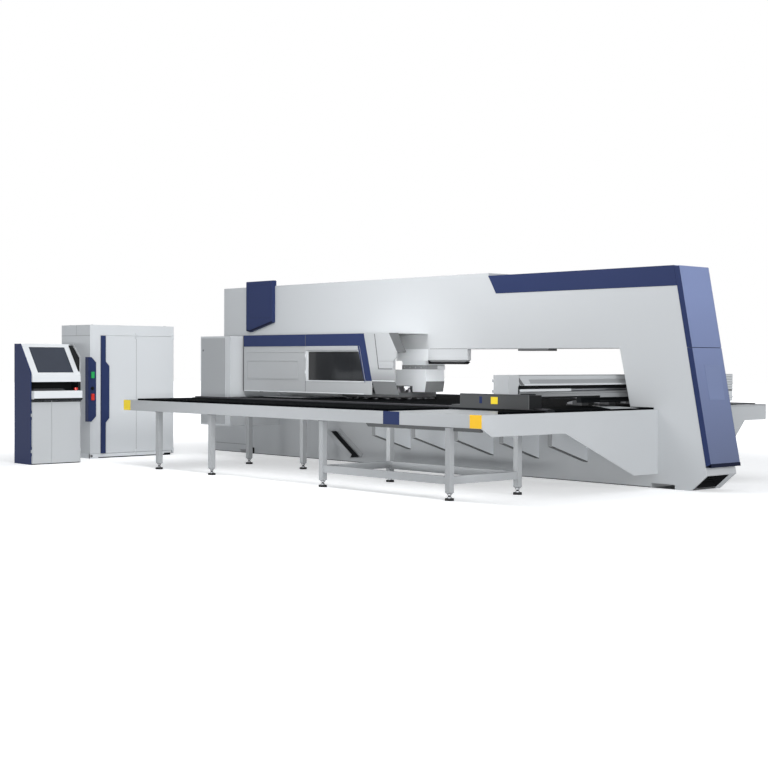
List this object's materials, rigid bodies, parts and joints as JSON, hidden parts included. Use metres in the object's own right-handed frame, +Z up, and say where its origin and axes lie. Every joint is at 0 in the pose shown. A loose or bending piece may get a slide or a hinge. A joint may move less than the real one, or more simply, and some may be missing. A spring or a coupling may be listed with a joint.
{
  "type": "cnc turret punch press",
  "caption": "Turret punch press with a closed frame, tool turrets, brush tables, a feed beam with clamps, a console and a control cabinet.",
  "frame": {"origin": "on the floor, straight below the punch axis", "axes": "+Y towards the frame's rear end, +X towards the near table and the console, +Z up"},
  "size_m": [5.585, 8.8692, 2.409],
  "materials": {
    "frame_paint": "satin",
    "cover_paint": "satin",
    "navy_paint": "satin",
    "blue_paint": "satin",
    "dark_paint": "matt",
    "table_paint": "satin",
    "shade_paint": "satin",
    "brush": "matt",
    "belt": "matt",
    "steel": "ground",
    "tool_steel": "ground",
    "iron": "machined",
    "alu": "satin",
    "glass": "clear",
    "screen": "gloss",
    "black_plastic": "matt",
    "red_plastic": "gloss",
    "green_plastic": "gloss",
    "foot_rubber": "matt"
  },
  "bodies": {
    "machine": {"main_frame": "frame_paint", "beam_stripe": "navy_paint", "rear_covers": "blue_paint", "sign_plate": "navy_paint", "front_box": "shade_paint", "beam_duct": "cover_paint", "turret_shafts": "steel", "turret_belts": "belt", "turret_motor": "dark_paint", "ram_housing": "alu", "head_guard": "cover_paint", "turret_cover_near": "cover_paint", "turret_cover_far": "cover_paint", "cover_bands": "navy_paint", "cover_end": "cover_paint", "near_table": "table_paint", "far_table": "table_paint", "centre_table": "table_paint", "table_brushes": "brush", "wing_plates": "table_paint", "table_legs": "table_paint", "levelling_feet": "foot_rubber", "shelf_frames": "table_paint", "gussets": "shade_paint", "scrap_chute": "shade_paint", "y_guides": "dark_paint", "y_rails": "steel", "console_body": "cover_paint", "console_side_far": "cover_paint", "console_side_near": "navy_paint", "console_screen": "screen", "keyboard": "black_plastic", "cabinet_body": "cover_paint", "control_panel": "navy_paint"},
    "upper_turret": {"upper_turret": "iron", "upper_tools": "tool_steel"},
    "lower_turret": {"lower_turret": "iron", "lower_dies": "tool_steel"},
    "drive_shaft": {"turret_drive": "steel"},
    "ram": {"ram": "steel"},
    "tool_door": {"tool_door": "cover_paint", "door_glass": "glass"},
    "cross_beam": {"x_beam": "table_paint", "beam_tray": "dark_paint", "x_rails": "steel", "beam_saddles": "dark_paint"},
    "carriage": {"x_carriage": "alu", "clamp_bodies": "iron"},
    "jaw_1": {"clamp_jaw_1": "tool_steel"},
    "jaw_2": {"clamp_jaw_2": "tool_steel"},
    "jaw_3": {"clamp_jaw_3": "tool_steel"},
    "console_door_narrow": {"console_door_narrow": "cover_paint"},
    "console_door_wide": {"console_door_wide": "cover_paint"},
    "stop_button": {"stop_button": "red_plastic"},
    "cabinet_door_left": {"cabinet_door_left": "cover_paint", "cabinet_handle": "navy_paint"},
    "cabinet_door_right": {"cabinet_door_right": "cover_paint"},
    "start_button": {"start_button": "green_plastic"},
    "halt_button": {"halt_button": "red_plastic"},
    "mode_switch": {"mode_switch": "black_plastic"}
  },
  "joints": [
    {"name": "upper_turret_spin", "type": "hinge", "parent": "machine", "child": "upper_turret", "pos_m": [0, -0.54, 0.9], "axis": [0, 0, 1], "continuous": true},
    {"name": "lower_turret_spin", "type": "hinge", "parent": "machine", "child": "lower_turret", "pos_m": [0, -0.54, 0.7], "axis": [0, 0, 1], "continuous": true},
    {"name": "drive_spin", "type": "hinge", "parent": "machine", "child": "drive_shaft", "pos_m": [0, -1.205, 0.7], "axis": [0, 0, 1], "continuous": true},
    {"name": "ram_stroke", "type": "slide", "parent": "machine", "child": "ram", "axis": [0, 0, 1], "range_m": [-0.037, 0]},
    {"name": "tool_door_hinge", "type": "hinge", "parent": "machine", "child": "tool_door", "pos_m": [0.906, -1.1315, 1.27], "axis": [0, 0, -1], "range_deg": [0, 110]},
    {"name": "beam_feed", "type": "slide", "parent": "machine", "child": "cross_beam", "axis": [0, 1, 0], "range_m": [-2.45, 0]},
    {"name": "carriage_feed", "type": "slide", "parent": "cross_beam", "child": "carriage", "axis": [1, 0, 0], "range_m": [-0.85, 1.15]},
    {"name": "jaw_1_hinge", "type": "hinge", "parent": "carriage", "child": "jaw_1", "pos_m": [-0.46, 2.9647, 0.868], "axis": [1, 0, 0], "range_deg": [-10, 2]},
    {"name": "jaw_2_hinge", "type": "hinge", "parent": "carriage", "child": "jaw_2", "pos_m": [0, 2.9647, 0.868], "axis": [1, 0, 0], "range_deg": [-10, 2]},
    {"name": "jaw_3_hinge", "type": "hinge", "parent": "carriage", "child": "jaw_3", "pos_m": [0.46, 2.9647, 0.868], "axis": [1, 0, 0], "range_deg": [-10, 2]},
    {"name": "narrow_door_hinge", "type": "hinge", "parent": "machine", "child": "console_door_narrow", "pos_m": [3.007, -3.067, 0.4], "axis": [0, 0, -1], "range_deg": [-100, 0]},
    {"name": "wide_door_hinge", "type": "hinge", "parent": "machine", "child": "console_door_wide", "pos_m": [3.693, -3.067, 0.4], "axis": [0, 0, -1], "range_deg": [0, 100]},
    {"name": "stop_press", "type": "slide", "parent": "machine", "child": "stop_button", "axis": [0, 0, 1], "range_m": [-0.006, 0], "stiffness_N_per_m": 1200, "springref_m": 0.004},
    {"name": "cabinet_left_hinge", "type": "hinge", "parent": "machine", "child": "cabinet_door_left", "pos_m": [1.854, -3.5915, 0.85], "axis": [0, 0, 1], "range_deg": [0, 90]},
    {"name": "cabinet_right_hinge", "type": "hinge", "parent": "machine", "child": "cabinet_door_right", "pos_m": [1.254, -3.5915, 0.85], "axis": [0, 0, 1], "range_deg": [0, 90]},
    {"name": "start_press", "type": "slide", "parent": "machine", "child": "start_button", "axis": [0, 1, 0], "range_m": [-0.005, 0], "stiffness_N_per_m": 800, "springref_m": 0.002},
    {"name": "halt_press", "type": "slide", "parent": "machine", "child": "halt_button", "axis": [0, 1, 0], "range_m": [-0.005, 0], "stiffness_N_per_m": 800, "springref_m": 0.002},
    {"name": "mode_turn", "type": "hinge", "parent": "machine", "child": "mode_switch", "pos_m": [2.543, -3.566, 0.93], "axis": [0, 1, 0], "range_deg": [-45, 45]}
  ],
  "couplings": [
    {"joint": "lower_turret_spin", "follows": "upper_turret_spin", "ratio": 1},
    {"joint": "drive_spin", "follows": "upper_turret_spin", "ratio": 3.4545}
  ]
}
